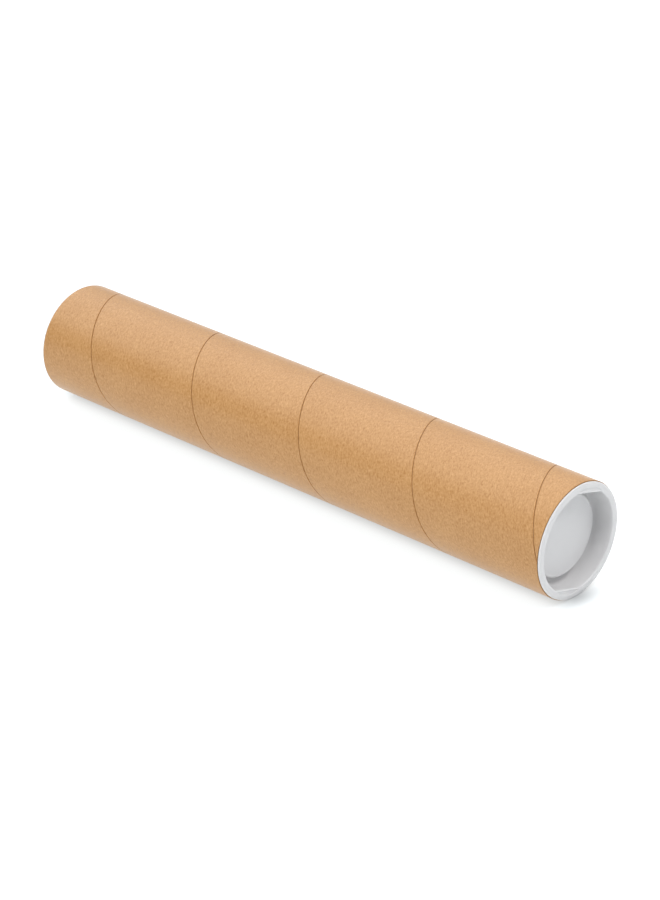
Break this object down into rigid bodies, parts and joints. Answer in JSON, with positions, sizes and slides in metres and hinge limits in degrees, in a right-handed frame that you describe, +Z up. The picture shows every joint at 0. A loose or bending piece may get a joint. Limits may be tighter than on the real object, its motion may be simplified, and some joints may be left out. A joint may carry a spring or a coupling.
{
  "type": "drawing tube",
  "caption": "Spiral-wound kraft paper tube with a recessed push-in plastic cap in each end, for keeping and posting rolled drawings.",
  "frame": {"origin": "on the plane that the tube lies on, under the middle of its length", "axes": "+X along the tube's axis towards the front cap, +Z up, +Y across"},
  "size_m": [0.307, 0.0534, 0.0535],
  "materials": {
    "kraft_paper": "matte brown kraft paper, fibrous",
    "core_board": "matte grey-brown recycled board",
    "liner_paper": "matte brown paper",
    "cap_plastic": "satin white polyethylene, slightly translucent"
  },
  "bodies": {
    "tube": {"outer_kraft_ply": "kraft_paper", "outer_core_ply": "core_board", "inner_core_ply": "core_board", "inner_liner_ply": "liner_paper"},
    "front_cap": {"front_cap": "cap_plastic"},
    "rear_cap": {"rear_cap": "cap_plastic"}
  },
  "joints": [
    {"name": "front_cap_pull", "type": "slide", "parent": "tube", "child": "front_cap", "axis": [1, 0, 0], "range_m": [0, 0.08]},
    {"name": "rear_cap_pull", "type": "slide", "parent": "tube", "child": "rear_cap", "axis": [-1, 0, 0], "range_m": [0, 0.08]}
  ]
}
